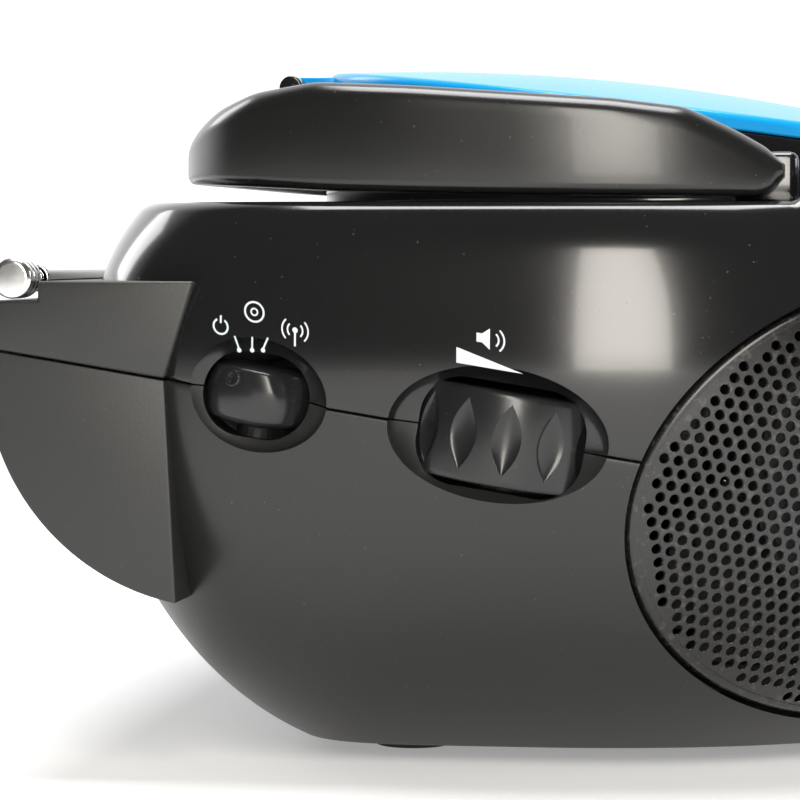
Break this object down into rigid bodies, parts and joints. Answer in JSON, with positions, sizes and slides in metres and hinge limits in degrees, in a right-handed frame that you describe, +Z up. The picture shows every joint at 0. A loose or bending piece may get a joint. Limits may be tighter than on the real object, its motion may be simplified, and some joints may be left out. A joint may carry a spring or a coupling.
{
  "type": "portable cd player",
  "caption": "Portable radio and disc player with a fold-down handle, domed top lid, oval side-wrapping speaker grilles, edge control wheels and a rear telescopic antenna.",
  "frame": {"origin": "centre of the footprint, on the surface that the rubber feet stand on", "axes": "+X to the right along the long side, +Y to the rear, -Y front, +Z up"},
  "size_m": [0.25, 0.216, 0.1324],
  "materials": {
    "gloss_black": "high gloss",
    "satin_black": "fine satin",
    "blue_gloss": "high gloss",
    "inner_black": "matt",
    "chrome": "polished",
    "steel": "satin",
    "perforated_metal": "semi-gloss black enamel",
    "circuit_board": "satin lacquer",
    "rubber": "matt",
    "clear_plastic": "clear gloss",
    "scale_print": "satin",
    "cone_paper": "matt paper",
    "pointer_red": "satin"
  },
  "bodies": {
    "case": {"lower_case": "satin_black", "upper_case": "gloss_black", "drum_cap": "satin_black", "front_panel": "gloss_black", "dial_window": "clear_plastic", "dial_scale": "scale_print", "display_window": "clear_plastic", "speaker_grille_left": "perforated_metal", "speaker_frame_left": "steel", "speaker_cone_left": "cone_paper", "handle_pin_left": "steel", "speaker_grille_right": "perforated_metal", "speaker_frame_right": "steel", "speaker_cone_right": "cone_paper", "handle_pin_right": "steel", "cd_well": "inner_black", "mech_chassis": "steel", "sled_rail_front": "chrome", "sled_rail_rear": "chrome", "spindle_motor": "steel", "battery_box": "inner_black", "main_board": "circuit_board", "button_board": "circuit_board", "transformer": "steel", "ac_inlet": "inner_black", "volume_pot": "steel", "tuning_capacitor": "steel", "function_switch": "steel", "antenna_bracket": "inner_black", "rubber_foot_1": "rubber", "case_screw_1": "steel", "rubber_foot_2": "rubber", "case_screw_2": "steel", "rubber_foot_3": "rubber", "case_screw_3": "steel", "rubber_foot_4": "rubber", "case_screw_4": "steel"},
    "handle": {"handle": "gloss_black"},
    "lid": {"lid_shell": "blue_gloss", "lid_liner": "inner_black"},
    "clamper": {"disc_clamper": "inner_black"},
    "turntable": {"turntable": "inner_black"},
    "leadscrew": {"sled_leadscrew": "steel"},
    "sled": {"pickup_sled": "inner_black"},
    "function_wheel": {"function_wheel": "satin_black"},
    "volume_wheel": {"volume_wheel": "satin_black"},
    "tuning_wheel": {"tuning_wheel": "satin_black"},
    "dial_pointer": {"dial_pointer": "pointer_red"},
    "battery_door": {"battery_door": "satin_black"},
    "antenna_elbow": {"antenna_elbow": "chrome"},
    "antenna_1": {"antenna_section_1": "chrome"},
    "antenna_2": {"antenna_section_2": "chrome"},
    "antenna_3": {"antenna_section_3": "chrome"},
    "antenna_4": {"antenna_section_4": "chrome", "antenna_tip": "chrome"},
    "button_stop": {"button_stop": "satin_black"},
    "button_back": {"button_back": "satin_black"},
    "button_play": {"button_play": "satin_black"},
    "button_skip": {"button_skip": "satin_black"},
    "button_program": {"button_program": "satin_black"}
  },
  "joints": [
    {"name": "handle_fold", "type": "hinge", "parent": "case", "child": "handle", "pos_m": [0, -0.0307, 0.109], "axis": [1, 0, 0], "range_deg": [0, 90]},
    {"name": "lid_hinge", "type": "hinge", "parent": "case", "child": "lid", "pos_m": [0, 0.0684, 0.1286], "axis": [-1, 0, 0], "range_deg": [0, 60]},
    {"name": "clamper_spin", "type": "hinge", "parent": "lid", "child": "clamper", "pos_m": [0, -0.00352, 0.11984], "axis": [0, -0.1211, 0.9926], "continuous": true},
    {"name": "turntable_spin", "type": "hinge", "parent": "case", "child": "turntable", "pos_m": [0, -0.00303, 0.11587], "axis": [0, -0.1211, 0.9926], "continuous": true},
    {"name": "leadscrew_turn", "type": "hinge", "parent": "case", "child": "leadscrew", "pos_m": [0.03, 0.01784, 0.11157], "axis": [1, 0, 0], "range_deg": [0, 2700]},
    {"name": "sled_travel", "type": "slide", "parent": "case", "child": "sled", "axis": [1, 0, 0], "range_m": [0, 0.03]},
    {"name": "function_turn", "type": "hinge", "parent": "case", "child": "function_wheel", "pos_m": [-0.11301, 0.0585, 0.06965], "axis": [0, -0.1628, 0.9867], "range_deg": [0, 36]},
    {"name": "volume_turn", "type": "hinge", "parent": "case", "child": "volume_wheel", "pos_m": [-0.10651, 0.0145, 0.06239], "axis": [0, -0.1628, 0.9867], "range_deg": [0, 270]},
    {"name": "tuning_turn", "type": "hinge", "parent": "case", "child": "tuning_wheel", "pos_m": [0.10651, 0.0145, 0.06239], "axis": [0, -0.1628, 0.9867], "range_deg": [0, 270]},
    {"name": "pointer_travel", "type": "slide", "parent": "case", "child": "dial_pointer", "axis": [1, 0, 0], "range_m": [0, 0.06]},
    {"name": "battery_door_pull", "type": "slide", "parent": "case", "child": "battery_door", "axis": [0, 1, 0], "range_m": [0, 0.06]},
    {"name": "antenna_swivel", "type": "hinge", "parent": "case", "child": "antenna_elbow", "pos_m": [0.108, 0.1029, 0.0905], "axis": [-1, 0, 0], "range_deg": [0, 80]},
    {"name": "antenna_raise", "type": "hinge", "parent": "antenna_elbow", "child": "antenna_1", "pos_m": [0.108, 0.1029, 0.0905], "axis": [0, 1, 0], "range_deg": [0, 90]},
    {"name": "antenna_draw_2", "type": "slide", "parent": "antenna_1", "child": "antenna_2", "axis": [-1, 0, 0], "range_m": [0, 0.18]},
    {"name": "antenna_draw_3", "type": "slide", "parent": "antenna_2", "child": "antenna_3", "axis": [-1, 0, 0], "range_m": [0, 0.18]},
    {"name": "antenna_draw_4", "type": "slide", "parent": "antenna_3", "child": "antenna_4", "axis": [-1, 0, 0], "range_m": [0, 0.18]},
    {"name": "button_stop_press", "type": "slide", "parent": "case", "child": "button_stop", "axis": [0, 0, -1], "range_m": [0, 0.001], "stiffness_N_per_m": 300},
    {"name": "button_back_press", "type": "slide", "parent": "case", "child": "button_back", "axis": [0, 0, -1], "range_m": [0, 0.001], "stiffness_N_per_m": 300},
    {"name": "button_play_press", "type": "slide", "parent": "case", "child": "button_play", "axis": [0, 0, -1], "range_m": [0, 0.001], "stiffness_N_per_m": 300},
    {"name": "button_skip_press", "type": "slide", "parent": "case", "child": "button_skip", "axis": [0, 0, -1], "range_m": [0, 0.001], "stiffness_N_per_m": 300},
    {"name": "button_program_press", "type": "slide", "parent": "case", "child": "button_program", "axis": [0, 0, -1], "range_m": [0, 0.001], "stiffness_N_per_m": 300}
  ],
  "couplings": [
    {"joint": "leadscrew_turn", "follows": "sled_travel", "rad_per_m": 1570.8},
    {"joint": "pointer_travel", "follows": "tuning_turn", "m_per_rad": 0.012731},
    {"joint": "antenna_draw_3", "follows": "antenna_draw_2", "ratio": 1},
    {"joint": "antenna_draw_4", "follows": "antenna_draw_2", "ratio": 1}
  ]
}
